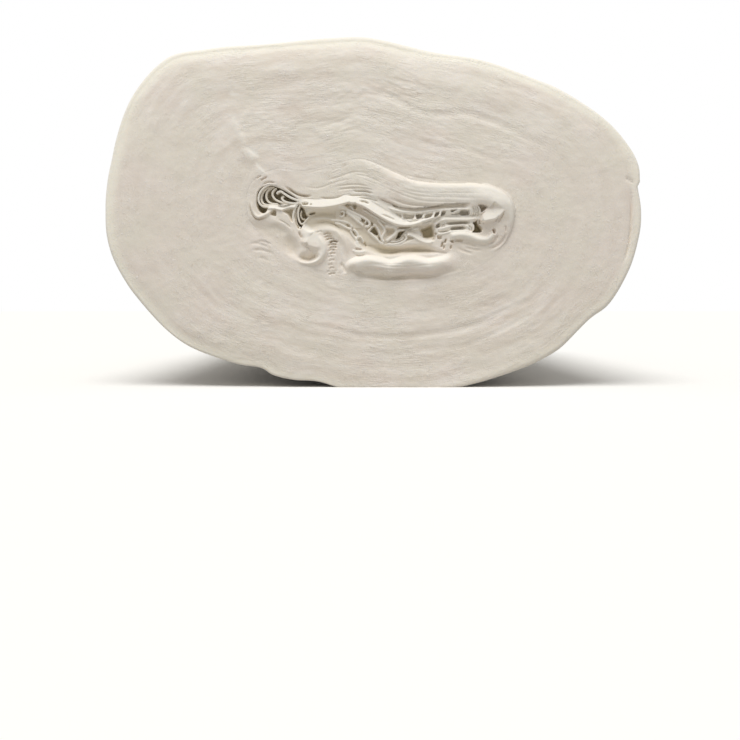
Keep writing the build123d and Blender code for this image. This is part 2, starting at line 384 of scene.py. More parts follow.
# %% The leaning sheets and the folds, by the pixels of their crests
ribbons = [
    # crest, level of its foot and of its crest, width of its climb and of its drop, fade at the ends
    ([298, 205.6, 305, 206.6, 313, 207.4, 322, 207.6, 332, 206.4, 341, 204.4, 348, 202.8, 356, 203.8,
     364, 206.8, 373, 212.4, 382, 217.8, 391, 222.4, 401, 225.4, 411, 225.4, 421, 222.6, 431, 219,
     439, 216, 447, 212.6], -0.1, 0.95, 1.8, 0.3, 0.05),
    ([386, 207, 395, 210.4, 404, 212.2, 414, 212.8, 424, 212.2, 434, 210.6, 444, 208.8, 456, 208.2,
     471, 208], -0.45, 0.45, 0.95, 0.2, 0.1),
    ([301, 238, 305.4, 242.6, 311, 245.6, 317.6, 247, 324, 246.6], 0.3, 0.9, 3.4, 0.9, 0.28),
    ([298, 253.4, 302.6, 257, 308.6, 258.2, 314, 256, 317.4, 251.4], 0.8, -1.1, 1.9, 1.2, 0.28),
    ([479.4, 220.6, 484, 221, 489, 220, 494, 218.8, 499, 215.4, 503.6, 209.6], 0.95, 1.7, 2.5, 0.5, 0.1),
    ([434.4, 227, 436.4, 224, 441, 220.8, 447, 219.8, 456, 219.8, 466, 219.8, 477, 218.8],
     -0.25, 0.45, 0.85, 0.25, 0.08),
    ([404.6, 234, 411, 235.6, 417, 238.8, 423, 241.8, 429, 242.8, 434.4, 240.6],
     -0.5, 0.3, 0.9, 0.35, 0.12),
    ([266, 208.6, 272, 208.2, 277, 209, 282, 210, 287, 209.4, 292, 208, 297, 206],
     -0.5, 0.3, 0.9, 0.25, 0.1),
]
folds = [
    # crest, level of its top, half its width
    ([337, 206.2, 345, 208.2, 352, 211.6, 358, 214.4, 364, 217.6, 368, 220.6, 369.8, 223.6, 367.8, 226.2,
     364, 226], -0.1, 0.3),
    ([345, 211, 351, 215.4, 356, 219.4, 360.5, 223.2, 364, 226], -0.2, 0.28),
    ([346, 209.8, 352, 213.4, 358, 217.2, 362, 220], -0.3, 0.5),
    ([365.4, 218.6, 366, 220.8, 364.6, 223.4], -0.3, 0.22),
    ([375.4, 223, 372, 227.4, 368.6, 231, 372, 234.4, 377, 239, 381, 242.6, 385, 243.6], -0.2, 0.27),
    ([375, 224, 378.2, 229, 379.6, 233, 380.8, 237.4, 382, 241], -0.25, 0.24),
    ([377, 219.4, 381, 224, 384.2, 228.4, 384.8, 231.6, 382.8, 235, 382.2, 239, 384.4, 242.6],
     -0.15, 0.27),
    ([384, 226, 390, 226.2, 394.4, 227.2, 396.6, 230.6, 394.4, 234.6, 389.4, 238.6, 385.6, 241.4],
     0.0, 0.36),
    ([386, 243.6, 393, 244.2, 400, 243, 405, 240.2, 406.6, 237, 404, 233.4], -0.15, 0.28),
    ([390, 241.4, 397, 241, 402, 239, 403.6, 236.4], -0.3, 0.22),
    ([396.4, 234, 399.6, 230, 407, 229.6, 414, 229, 419.6, 228], 0.1, 0.28),
    ([362, 209, 370, 213.6, 378, 218.4, 386, 223, 394, 226.4], -0.35, 0.26),
    ([350, 205.4, 351.6, 207.4, 353.6, 210], -0.2, 0.22),
    ([330, 219.6, 337, 220, 343, 221, 347, 222.4, 350.4, 224.8, 353, 227.6], -0.45, 0.26),
    ([334, 222.4, 340, 223.8, 345, 226.6, 350, 228.8, 352.6, 228.6], -0.45, 0.28),
    ([352.8, 228.4, 356, 231.4, 358, 235, 356.6, 238.6, 359.4, 236.4, 361.6, 238.6, 363.4, 243],
     -0.35, 0.28),
    ([350.4, 229.4, 352.4, 233.4, 355.4, 238.4, 358, 243], -0.4, 0.28),
    ([356.6, 241, 357.4, 244.4, 359.4, 247], -0.2, 0.45),
    ([352, 250, 356.6, 252, 362, 252, 366, 251], 0.1, 0.42),
    ([340, 211.6, 343.6, 211, 344, 214, 341.8, 216.2, 339, 215], -0.4, 0.22),
    ([436.4, 229.6, 443, 228.2, 450, 226.4, 457, 225.6, 464, 225.6, 469.4, 227.4, 472, 230.6],
     0.25, 0.34),
    ([436, 233.8, 443, 233.6, 448, 232.2, 454, 231.2, 462, 231.2, 471, 231.6], 0.3, 0.34),
]
fold_height = 0.7  # from the foot of a fold to its top, in millimetres
fold_fade = 0.06  # the share of its length over which it fades at each end
# how much paler the top of a fold is painted: partly its smooth side, partly a painted highlight
fold_highlight = 0.85


def add_ribbon(relief, pale_and_highlight, spots, crest, foot, top, climb, drop, fade):
    """Lays in a sheet that leans back."""
    which, distance, side, along = near_line(spots, smooth_line(crest), max(climb, drop))
    front = (side > 0) & (distance < climb)
    behind = (side <= 0) & (distance < drop)
    level = np.where(front, top + (foot - top) * distance / climb, top)
    share = np.where(front, 1.0, np.where(behind, 1 - smooth_step(0, drop, distance), 0.0))
    share *= faded(along, fade, fade)
    relief[which] = relief[which] * (1 - share) + level * share


def add_fold(relief, pale_and_highlight, spots, crest, top, half_width):
    """Raises the edge of one sheet as a low round ridge."""
    which, distance, _, along = near_line(spots, smooth_line(crest), half_width)
    lift = np.sqrt(np.clip(1 - (distance / half_width) ** 2, 0, 1)) * faded(along, fold_fade, fold_fade)
    relief[which] = np.maximum(relief[which], top - fold_height * (1 - lift))
    # the top of the fold is painted paler, as its smooth side and as a highlight
    pale_and_highlight[which] = np.maximum(pale_and_highlight[which], fold_highlight * smooth_step(0.2, 0.8, lift))


print(len(ribbons), "leaning sheets,", len(folds), "folds")

# %% [markdown]
# ### Narrow slits, pleats and layer lines
#
# The finest gaps are slits no wider than a sheet or two. Each is a line with a width and a depth. Lines
# of the same kind stand in one list: the slits of the middle, the small pleats where a bundle is bent
# back on itself, and the long lines where one layer of turns has slid past the next.

# %% The slits, by the pixels along them
slit_lines = [
    # line, width, depth
    ([284, 186, 290, 189.6, 296, 193.6, 303, 195.6, 308, 195.9, 313, 196.5], 0.45, 1.0),
    ([262, 185.5, 266, 182.6, 270, 181.8, 276, 183], 0.35, 0.35),
    ([260, 181, 263.6, 178.4, 267.6, 176.6], 0.35, 0.5),
    ([256, 179, 259, 176.6, 262, 176], 0.3, 0.3),
    ([318, 197.6, 326, 198, 335, 197.8, 340, 196.4, 344.6, 194.8], 0.35, 0.45),
    ([250, 201, 250, 207, 251.6, 213, 254.4, 217.4, 258.4, 219, 263, 218, 269, 215], 0.4, 0.7),
    ([301.6, 204.4, 305, 204, 309, 204.4], 0.55, 1.1),
    ([310, 204.4, 311, 204.8, 312, 205.4], 0.4, 0.5),
    ([307.6, 214, 311.6, 213, 316, 211.9], 0.4, 1.5),
    ([306, 216.4, 315, 214, 328, 213.4, 338, 216], 0.6, 0.3),
    ([308, 229, 314, 225, 325, 222.8, 335, 226, 342, 233.6, 347, 244.6], 0.9, 0.4),
    ([298.6, 225, 299.6, 228], 0.5, 0.8),
    ([299, 231, 300, 235, 302.4, 238.6], 0.4, 0.5),
    ([305, 243.4, 307, 244.6, 307.8, 246], 0.4, 0.4),
    ([352, 190.6, 358, 191, 365, 191.2, 370, 192.6, 374, 194], 0.4, 0.7),
    ([345, 196, 355, 195.4, 365, 195.2, 375, 198], 0.35, 0.45),
    ([356, 198.2, 364, 198, 373, 199.6, 380, 203], 0.35, 0.4),
    ([359, 201.4, 365, 202, 369.4, 204.6], 0.4, 0.7),
    ([336, 190.4, 345, 188.6, 353, 188, 366, 188.6, 376, 192], 0.35, 0.25),
    ([334, 186.6, 345, 185, 358, 184.6, 372, 187.4], 0.3, 0.16),
    ([376, 197, 386, 201.4, 392, 203.6, 398.6, 206.4], 0.4, 0.55),
    ([392, 204.4, 395.4, 205.6, 398.6, 206.6], 0.4, 0.6),
    ([384, 196.6, 396, 201, 410, 204.6, 430, 206, 470, 206], 0.55, 0.35),
    ([380, 214.4, 388, 217, 397, 221.4], 0.35, 0.35),
    ([400, 221.4, 408, 222, 416, 221, 424, 218.6], 0.3, 0.25),
    ([420, 223.6, 427, 221.6, 433, 219.4], 0.4, 0.5),
    ([396, 227.6, 404, 227.8, 413, 226.6], 0.4, 1.3),
    ([402, 230, 410, 229.4, 415, 228.8], 0.35, 1.0),
    ([444, 223, 450, 223.2, 457, 222.8, 464, 222.4, 472, 222.4], 0.55, 1.7),
    ([449, 229, 456, 228, 462, 227.6, 467, 227.8], 0.65, 2.0),
    ([437, 231.8, 445, 231.4, 451, 229.8], 0.35, 0.8),
    ([441.4, 223, 442.2, 225.5, 441.2, 227.8], 0.28, 0.5),
    ([443.6, 222.8, 444.4, 225, 443.8, 227.2], 0.28, 0.5),
    ([434.6, 232.6, 436, 233.6, 437.4, 232.8], 0.4, 0.9),
    ([468.6, 224.6, 470, 228, 469, 231.6], 0.3, 0.5),
    ([471, 226, 472, 229, 471.2, 231.8], 0.3, 0.5),
    ([471, 206.4, 473.6, 210, 473.8, 214, 471.8, 218], 0.32, 0.5),
    ([473.4, 206, 475.8, 210, 476, 214, 474.2, 218], 0.32, 0.5),
    ([475.8, 205.6, 478.2, 210, 478.2, 214.4, 476.6, 217.6], 0.32, 0.6),
    ([492.4, 228.6, 494.2, 231.4, 493.6, 234.6], 0.55, 1.3),
    ([490.6, 230, 490.8, 233, 489.4, 236], 0.3, 0.4),
    ([504.5, 225, 505.8, 229, 505.5, 233], 0.35, 0.3),
    ([479.4, 219.4, 479.6, 222.4, 481, 225], 0.35, 0.8),
    ([480.4, 215.6, 482.6, 213.6, 485, 211.8], 0.28, 0.4),
    ([482, 219, 483, 222, 484, 224], 0.28, 0.3),
    ([452, 239.6, 452.3, 241.4, 452, 243], 0.65, 0.9),
    ([454, 240, 458, 240.4, 464, 240.6], 0.6, 0.6),
    ([451.6, 244.6, 451, 247, 451.2, 249.4], 0.35, 0.6),
    ([437.6, 235, 438.4, 237.4, 438.2, 239.6], 0.4, 0.8),
    ([441.4, 235, 440.4, 237.6, 440.6, 240], 0.5, 0.7),
    ([446.4, 238.4, 445.4, 241, 445, 243.4], 0.4, 0.9),
    ([443, 241, 442.4, 244.4, 441, 248], 0.4, 0.8),
    ([444.6, 245, 444, 247.4, 443.6, 249.6], 0.35, 0.5),
    ([432.6, 240.6, 434, 239.4, 435.4, 239], 0.4, 0.5),
    ([495, 222, 497, 219, 498, 216], 0.3, 0.4),
    ([498, 223, 500, 219.6, 501, 216.6], 0.28, 0.35),
    ([500.5, 219, 502.6, 214.8, 503.2, 211], 0.3, 0.4),
    ([364, 241, 365, 244, 366.6, 247], 0.35, 0.5),
    ([354.6, 249, 358.4, 249, 362.6, 250.2], 0.4, 0.5),
    ([355, 255.4, 361, 256, 366, 255.4], 0.35, 0.4),
    ([256, 241, 264, 241.4, 272, 245.4], 0.4, 0.25),
    ([250, 249.6, 262, 250, 270, 252.4, 275, 256], 0.45, 0.22),
    ([248, 244, 256, 243, 266, 246, 272, 250], 0.45, 0.2),
    ([350, 273.6, 365, 276.4, 385, 277.4, 410, 277, 435, 274.4, 456, 267.4], 1.2, 0.65),
    ([362, 241.4, 370, 247.4, 380, 250.4, 392, 250.6, 405, 249.6, 420, 249.6, 437, 250.6], 1.7, 0.75),
    ([458, 242.4, 468, 244, 478, 247.4], 0.55, 0.22),
    ([464, 247, 474, 249.4, 484, 250.6], 0.55, 0.18),
    ([486, 244, 494, 241, 499, 235], 0.55, 0.25),
    ([486, 249.6, 496, 246.4, 504, 239, 507, 230], 0.6, 0.3),
    ([456, 247, 464, 251, 474, 254], 0.55, 0.18),
    ([398, 187, 412, 191.4, 430, 193.4, 470, 193.6, 492, 195], 0.4, 0.05),
    ([386, 184, 404, 192.6, 424, 197, 460, 198, 494, 199.6], 0.45, 0.06),
    ([372, 182, 392, 191, 410, 198, 430, 202, 480, 202.4], 0.4, 0.07),
    ([352, 174, 368, 177, 384, 184], 0.4, 0.08),
    ([400, 190, 416, 193, 440, 195.8, 468, 196], 0.35, 0.04),
    ([354, 268, 370, 264.6, 394, 267, 420, 265.6, 444, 264], 0.4, 0.1),
    ([358, 272, 380, 269.6, 410, 270.8, 440, 268], 0.4, 0.09),
    ([364, 262.4, 380, 264, 400, 264.4, 424, 263.4], 0.35, 0.07),
    ([322, 182, 338, 177, 356, 172, 374, 176], 0.4, 0.08),
    ([300, 186, 318, 188, 336, 182, 356, 178], 0.4, 0.08),
    ([404, 219.4, 414, 220.4, 424, 218.4, 436, 214.6], 0.28, 0.3),
    ([396, 216.6, 404, 219.8, 412, 222, 421, 220.6], 0.28, 0.3),
    ([258, 257, 264, 258.6, 270, 261.6], 0.35, 0.2),
    ([277, 219, 285, 223, 292, 229], 0.35, 0.2),
    ([376, 251, 384, 252.4, 392, 252.6, 402, 251], 0.5, 0.35),
    ([408, 250.4, 422, 250.6, 438, 251.4], 0.5, 0.35),
    ([340, 262, 344, 268, 346, 274], 0.6, 0.3),
]
layer_lines = [
    ([331, 96, 350, 93, 377, 92, 395, 99, 407, 105, 425, 112.5, 445, 114, 470, 113, 510, 128, 560, 155],
     1.6, 0.16),
    ([280, 323, 305, 326, 331, 330, 360, 336, 395, 337, 430, 334, 459, 329, 490, 318, 517, 306, 545, 293,
     568, 280], 1.4, 0.12),
    ([402, 132, 420, 141, 440, 147, 470, 150, 505, 166], 1.2, 0.1),
    ([318, 127, 335, 122, 350, 120], 0.9, 0.1),
    ([430, 352, 470, 344, 510, 326, 545, 305], 1.0, 0.08),
    ([632.6, 184, 633.2, 196, 633.2, 212, 632.6, 230, 629.6, 250, 623, 268], 0.45, 0.5),
    ([626, 176, 631, 178.6, 637, 183], 0.45, 0.35),
]
pleats = [
    # middle of the pleat, half its length in pixels, depth
    (319.5, 231.6, 2.6, 0.25), (327.5, 233.4, 4.2, 0.5), (328.4, 236.2, 4.2, 0.55),
    (330, 238.8, 4.6, 0.6), (333.6, 241.4, 4.8, 1.05), (332.4, 244.4, 5.2, 0.55),
    (333, 247.2, 4.4, 0.5), (331.6, 250, 4, 0.45), (332.4, 253.2, 3.4, 0.35), (330.2, 256.6, 2.4, 0.2),
    (331.8, 260, 2.8, 0.25), (330.4, 264.4, 2, 0.2), (331.6, 268, 2.4, 0.2), (332, 273.6, 3.8, 0.35),
    (328.6, 271.4, 1.6, 0.2),
]
pleat_width = 0.40
slit_fade = 0.3  # the share of a slit over which it fades at each end
slit_floor, slit_wall = 0.1, 0.75  # the shares of its width that its floor and its walls reach out to
pleat_lines = []
for x, y, half, depth in pleats:
    pleat = [x - half, y + 2.2, x - 0.4 * half, y, x + 0.5 * half, y - 0.2, x + half, y + 1.6]
    pleat_lines.append((pleat, pleat_width, depth))


def cut_slit(relief, pale_and_highlight, spots, line, width, depth):
    """Lowers the relief along a line, most of all halfway along."""
    which, distance, _, along = near_line(spots, smooth_line(line), width)
    opening = 1 - smooth_step(slit_floor * width, slit_wall * width, distance)
    relief[which] -= depth * opening * faded(along, slit_fade, slit_fade)


print(len(slit_lines), "slits,", len(pleat_lines), "pleats,", len(layer_lines), "layer lines")

# %% [markdown]
# ### Pale paper and painted highlights
#
# The cut edges look a little greyish. Where the sheets have slipped or lean back we see their smooth
# side, which is paler, so some places are marked as smooth paper by an outline and a share. These are
# also where the light falls brightest, so their paler colour is partly a painted highlight.

# %% The smooth places and painted highlights, by the pixels of their outlines
smooth_and_highlight_places = [
    # outline, share of smooth paper and painted highlight
    ([297, 199, 320, 198.4, 345, 194, 356, 189, 372, 192, 386, 202, 400, 207, 420, 210, 446, 207,
     470, 206.6, 480, 208, 479, 219, 452, 221, 420, 225, 405, 226.6, 385, 221, 365, 208, 350, 203,
     335, 206, 312, 207.6], 0.9),
    ([433, 225, 441, 218, 460, 216, 476, 217, 474, 222, 473, 232, 452, 235, 436, 235], 0.8),
    ([481, 219, 489, 210, 503, 208.6, 500, 216, 494, 221, 483, 222], 0.9),
    ([405, 232, 414, 230.6, 419, 229.4, 422, 234, 425, 238.4, 431, 239, 435, 238, 434, 243, 428, 244,
     421, 241.6, 414, 238, 406, 235.6], 0.9),
    ([266, 205, 280, 205, 297, 204, 296, 208, 283, 210, 268, 209], 0.8),
    ([347, 258, 360, 254.6, 380, 256, 400, 256, 430, 257, 448, 254, 445, 261.6, 420, 262, 390, 264.4,
     360, 262.4, 350, 264], 0.85),
    ([301, 226, 304.6, 221.6, 310, 226, 317, 233, 324, 239, 327, 247, 326, 254, 321, 260, 322, 250,
     317, 244, 309, 242, 303, 237], 0.8),
    ([398, 182, 430, 186, 460, 187, 486, 188, 500, 193, 511, 199, 514, 209, 513.4, 219, 509, 223,
     507.6, 212, 503, 203, 492, 197, 460, 193, 430, 192, 404, 189], 0.75),
    ([405, 190, 440, 193, 488, 195, 500, 203, 488, 205, 440, 203.6, 408, 201], 0.35),
    ([450, 234, 465, 232.6, 475, 234, 484, 237, 491, 236, 490, 241, 482, 243, 472, 240.6, 460, 239,
     450, 240], 0.85),
    ([228, 92, 232, 89, 235, 91.6, 239, 90.4, 238, 94.4, 231, 96], 0.7),
    ([233, 115, 235.6, 117, 236, 121, 239, 124, 237, 128, 234, 123, 231, 119], 0.9),
    ([238.6, 128, 241.6, 131, 241, 135, 244.4, 139, 242, 142, 239, 137, 237.6, 132], 0.8),
    ([245, 147, 248, 145.6, 254, 147.4, 258.4, 152, 259, 158, 254.6, 157, 250.6, 154, 247, 151], 0.8),
    ([254, 161, 258, 161.6, 259.6, 166, 263.6, 168.6, 266, 175, 261, 173.6, 257, 168], 0.8),
]
smooth_border = 0.4  # the width of their soft border, in millimetres


def mark_smooth_and_highlight(relief, pale_and_highlight, spots, outline, amount):
    """Marks the paper inside an outline as the smooth side of the sheet, painted paler as a highlight too.
    """
    which, share = share_inside(spots, outline, smooth_border)
    pale_and_highlight[which] = np.maximum(pale_and_highlight[which], amount * share)


# %% [markdown]
# ### The whole relief
#
# The parts are put together from large to small: the beads, the floors, then what stands on them, the
# gaps, and the slits last.
#
# A cut end isn't flat, because each layer of turns has slid a little. A noise that is long along the
# turns and short across them makes these steps, and a finer one the short flecks where the saw has
# lifted a few edges. Both read the place of a spot and how many millimetres of paper lie between it and
# the middle. The flecks come in patches, and they are strong above and below the middle, where the saw
# ran along the sheets. At the left and the right it ran across them and left the end nearly plain.
#
# The end also bulges by a little more than a millimetre, because the outer turns hold the paper back. So
# it is lighter near the top, where it leans back, and darker near the floor.

# %% The relief of the near end
layer_step = 0.080  # how far neighbouring layers have slid past each other, in millimetres
dent_depth = 0.06  # how deep the end is dented, in millimetres
bulge = 1.3  # how far the middle of the end stands out from its rim, in millimetres
slide_length, slide_layers = 12, 2.8  # millimetres along the turns and across the layers
fleck_reach, fleck_layers = 1.5, 0.55
slide_share, fleck_share, patch_bias = 1.6, 1.1, 0.22  # the strengths of both, and more for the patches
patch_across, patch_up = 8, 6  # millimetres
dent_sizes = [(3.4, 3.0, 11.5), (1.3, 1.1, 17.5)]  # millimetres across and up, and a seed
streaks_middle, streaks_reach = (380, 212), np.array([250, 170])  # in pixels
least_streaks, upper_streaks = 0.25, 0.35  # at the sides, and how much more there is at the top
relief_steps = [
    (add_bead, beads), (sink, floors), (add_ribbon, ribbons), (mark_smooth_and_highlight, smooth_and_highlight_places),
    (add_fold, folds), (sink, gaps), (cut_slit, slit_lines + pleat_lines + layer_lines),
]


def streaks_at(spots):
    """How strong the streaks are at each place."""
    across, up = ((spots - place(streaks_middle)) / (streaks_reach * photo_scale)).T
    steep = smooth_step(0.2, 0.55, np.abs(up) / (np.abs(across) + np.abs(up) + 0.1))
    upper = smooth_step(-0.2, 0.2, up)
    return (least_streaks + (1 - least_streaks) * steep) * (0.8 + upper_streaks * upper)


def slid_layers(spots, layers):
    """The small slides between layers, as noises drawn out along the turns."""
    heights = np.empty(len(spots))
    for index, ((x, z), layer) in enumerate(zip(spots, layers)):
        patch = max(0.0, noise.noise((x / patch_across, z / patch_up, 3.5)) + patch_bias)
        broad = noise.noise((x / slide_length, z / slide_length, layer / slide_layers))
        fleck = noise.noise((x / fleck_reach + 9, z / fleck_reach, layer / fleck_layers))
        heights[index] = slide_share * broad + fleck_share * patch * fleck
    return heights * layer_step * streaks_at(spots)


def dented(spots):
    """Soft dents and lumps all over the end."""
    large, small = (
        np.array([noise.noise((x / across, z / up, seed)) for x, z in spots])
        for across, up, seed in dent_sizes
    )
    return dent_depth * (large + 0.8 * small)


def lies_back(spots):
    """How far the bulging end lies back at each place, in millimetres."""
    x, z = ((spots - (0, middle_height)) / (roll_width / 2, roll_height / 2)).T
    return bulge * np.clip(x**2 + z**2, 0, 1.1)


def relief_of(spots, layers):
    """How far the near end stands proud at each place, in millimetres, and its smooth paper and painted
    highlights.
    """
    relief = slid_layers(spots, layers) + dented(spots)
    pale_and_highlight = np.zeros(len(spots))
    for change, forms in relief_steps:
        for form in forms:
            change(relief, pale_and_highlight, spots, *form)
    return relief, pale_and_highlight


# %% [markdown]
# ## The body
#
# Seen as a plain shape, the roll is a ring: out from the middle over the near end, back along the side,
# in over the far end, and forward again through the middle. So a grid primitive is bent round and sewn
# both ways: across, it follows a turn, and along, it runs that round trip.
#
# Extruding turn by turn would need hundreds of steps by hand, each a different wavy outline, so here the
# points are placed by the pairs above. The end rolls off over its outer quarter, most at the top and the
# upper left, where the last turns hang loose, and its rim is crushed over by about a millimetre.
#
# The wavy outline belongs to the sawn end. Away from it the turns are held tight, so there the outline
# is evened out, and the free edge of the sheet wanders a little instead of running dead straight.

# %% Sizes of the body
turn_points = 600  # points round each turn
face_turns = 104  # rows of points from the middle to the rim of the near end
rim_rows = 8  # over each rim
side_rows = 24
far_face_turns = 14
wall_rows = 3  # through the middle, where nothing is seen
side_end = face_turns + 2 * rim_rows + side_rows + 1  # the first row past the side and both rims
paper_depth = 24.0  # millimetres of paper between the middle and the outside, for the layers

soft_rims = [
    # share of the way round, width of the crushed rim, how far it lies back, how far the end rolls off
    (0.00, 1.3, 1.6, 0.15), (0.05, 1.3, 1.4, 0.5), (0.12, 1.3, 1.2, 1.1), (0.22, 1.4, 1.2, 1.6),
    (0.32, 1.4, 1.2, 1.6), (0.40, 1.6, 1.4, 1.4), (0.45, 1.4, 1.2, 1.0), (0.54, 1.0, 0.9, 0.5),
    (0.62, 0.9, 0.8, 0.4), (0.70, 0.8, 0.8, 0.2), (0.78, 0.9, 0.9, 0.0), (0.85, 1.2, 1.1, 0.0),
    (0.91, 1.3, 1.2, 0.15), (0.97, 1.3, 1.6, 0.2), (1.00, 1.3, 1.6, 0.15),
]
roll_off_share = 0.26  # the outer share of the paper in which the end rolls off
roll_off_power = 2.3  # how much more it rolls off near the rim
far_rim = 1.2  # radius of the rim at the far end
last_turn = 1.15  # how far the loose last turn stands off all round
settle_length = 34.0  # millimetres from the near end to where the outline is even
even_reach = 22  # how many points on each side are evened out together
evening_loss = 0.4  # how much that draws the outline in
edge_wander, wander_length = 3.4, 28  # how far the free edge wanders, and over what length
step_from = 0.94  # the share of the way out from which the turns have the step at the free edge
seam_from = 0.88  # the share of the way round from which the closed outline makes up for that step


def evenly_round(line, other, count):
    """The same shares along two lines, spaced evenly along a turn halfway between them."""
    halfway = (line + other) / 2
    steps = np.hypot(*np.diff(halfway, axis=0).T)
    passed = np.concatenate([[0], np.cumsum(steps)])
    wanted = np.linspace(0, passed[-1], count)
    return [np.stack([np.interp(wanted, passed, way) for way in each.T], -1) for each in (line, other)]


rim_points, outside_points = evenly_round(rim_line, outside_line, turn_points)
round_share = np.linspace(0, 1, turn_points)
shares, widths, depths, rolls = zip(*soft_rims)
crushed_width, crushed_depth, roll_off = (
    np.interp(round_share, shares, values) for values in (widths, depths, rolls)
)
seam_gap = outside_points[:1] - outside_points[-1:]
closed_outside = outside_points + seam_gap * smooth_step(seam_from, 1, round_share)[:, None]
outwards = closed_outside - rim_points
outwards /= np.hypot(*outwards.T)[:, None]
closed_outside = closed_outside + last_turn * outwards
outside_points = outside_points + last_turn * outwards
shifted = [np.roll(closed_outside[:-1], step, axis=0) for step in range(-even_reach, even_reach + 1)]
even_outside = np.mean(shifted, axis=0)
even_outside = np.concatenate([even_outside, even_outside[:1]]) + evening_loss * outwards
point_spacing = np.hypot(*np.diff(closed_outside, axis=0).T).mean()
print("points on the body:", turn_points * (side_end + far_face_turns - 1 + wall_rows))

# %% [markdown]
# One function gives a row of points: the turn at a share of the way out, and only the last few turns
# keep the step at the free edge. Another lists the rows from the near middle out and round to the far
# middle. Each row has its place along the roll and, for the finish, how far out its layer lies and how
# much of it is the smooth side of the sheet instead of cut edges.

# %% Rows of the body
def outside_at(along, step):
    """The outside at a place along the roll, with a share of the step at the free edge."""
    settled = smooth_step(0, settle_length, along - near_end)
    wander = edge_wander * noise.noise((along / wander_length, 4.2, 0)) * settled
    columns = (np.arange(turn_points) + wander / point_spacing) % (turn_points - 1)
    shape = closed_outside * (1 - settled) + even_outside * settled
    slid = [np.interp(columns, np.arange(turn_points), way) for way in shape.T]
    return np.stack(slid, -1) + step * (outside_points - closed_outside)


def turn_at(share, inset, along):
    """The points of one turn, at a share of the way out to the outside less an inset."""
    outer = outside_at(along, smooth_step(step_from, 1.0, share)) - outwards * inset[:, None]
    return rim_points + (outer - rim_points) * share


def body_rows():
    """All rows: points, place along the roll, layer, and share of smooth side."""
    plain = np.zeros(turn_points)
    side_start = near_end + roll_off + crushed_depth
    rows = []
    for share in np.linspace(0, 1, face_turns):
        back = near_end + roll_off * max(0, (share - 1) / roll_off_share + 1) ** roll_off_power
        rows.append((turn_at(share, crushed_width, near_end), back, share * paper_depth, 0.0))
    for index in range(1, rim_rows + 1):
        angle = math.pi / 2 * index / rim_rows
        inset = crushed_width * (1 - math.sin(angle))
        along = near_end + roll_off + crushed_depth * (1 - math.cos(angle))
        rows.append((turn_at(1, inset, near_end), along, paper_depth, index / rim_rows))
    for index in range(1, side_rows + 1):
        share = index / (side_rows + 1)
        along = side_start + (far_end - far_rim - side_start) * share
        middle = near_end + (far_end - near_end) * share
        rows.append((turn_at(1, plain, middle), along, paper_depth, 1.0))
    for index in range(rim_rows + 1):
        angle = math.pi / 2 * index / rim_rows
        inset = plain + far_rim * (1 - math.cos(angle))
        along = far_end - far_rim + plain + far_rim * math.sin(angle)
        rows.append((turn_at(1, inset, far_end), along, paper_depth, 1 - index / rim_rows))
    for index in range(1, far_face_turns):
        share = 1 - index / (far_face_turns - 1)
        turn = turn_at(share, plain + far_rim, far_end)
        rows.append((turn, far_end + plain, share * paper_depth, 0.0))
    for index in range(1, wall_rows + 1):
        along = far_end + (near_end - far_end) * index / (wall_rows + 1) + plain
        rows.append((rim_points, along, 0.0, 0.0))
    return rows


# %% [markdown]
# The side of the sheet is smooth, but a soft roll is never quite straight. A low, broad noise presses it
# in by up to three quarters of a millimetre, and a smaller one gives soft wrinkles. Under the roll the
# paper lies flat on the floor.

# %% Make the body
all_in, dent_in, wrinkle_in = 0.3, 0.5, 0.09  # how far the side is pressed in, in millimetres
side_dent, side_wrinkle = (15, 32, 15), (4.5, 16, 4.5)  # millimetres across, along and up
calm_from, calm_share = 0.985, 0.75  # from where, and how much, the relief fades at the rim
# From this share of the way out the loose turns get a painted glow, a warmer, lighter colour.
loose_from = 0.92  # the share of the way out from which the turns are loose


def new_piece(name):
    """Names the object that an operator has just added, and its mesh."""
    piece = bpy.context.object
    piece.name = name
    piece.data.name = name
    return piece


def points_of(piece):
    """The places of all points of a piece."""
    places = np.empty(len(piece.data.vertices) * 3, np.float32)
    piece.data.vertices.foreach_get("co", places)
    return places.reshape(-1, 3)


def set_points(piece, points):
    """Places all points of a piece, given in millimetres."""
    piece.data.vertices.foreach_set("co", (np.asarray(points) * MM).astype(np.float32).ravel())
    piece.data.update()


def set_patterns(piece, **patterns):
    """Keeps numbers that the material reads: for each name one for each point, or one for all."""
    for name, values in patterns.items():
        layer = piece.data.attributes.new(name, "FLOAT", "POINT")
        layer.data.foreach_set("value", np.full(len(layer.data), values, np.float32))


def add_grid(name, columns, lines):
    """A flat grid, with the number of each of its points along both ways."""
    bpy.ops.object.select_all(action="DESELECT")
    bpy.ops.mesh.primitive_grid_add(x_subdivisions=columns, y_subdivisions=lines, size=1)
    grid = new_piece(name)
    column, line, _ = (points_of(grid) + 0.5).T
    return grid, np.rint(column * columns).astype(int), np.rint(line * lines).astype(int)


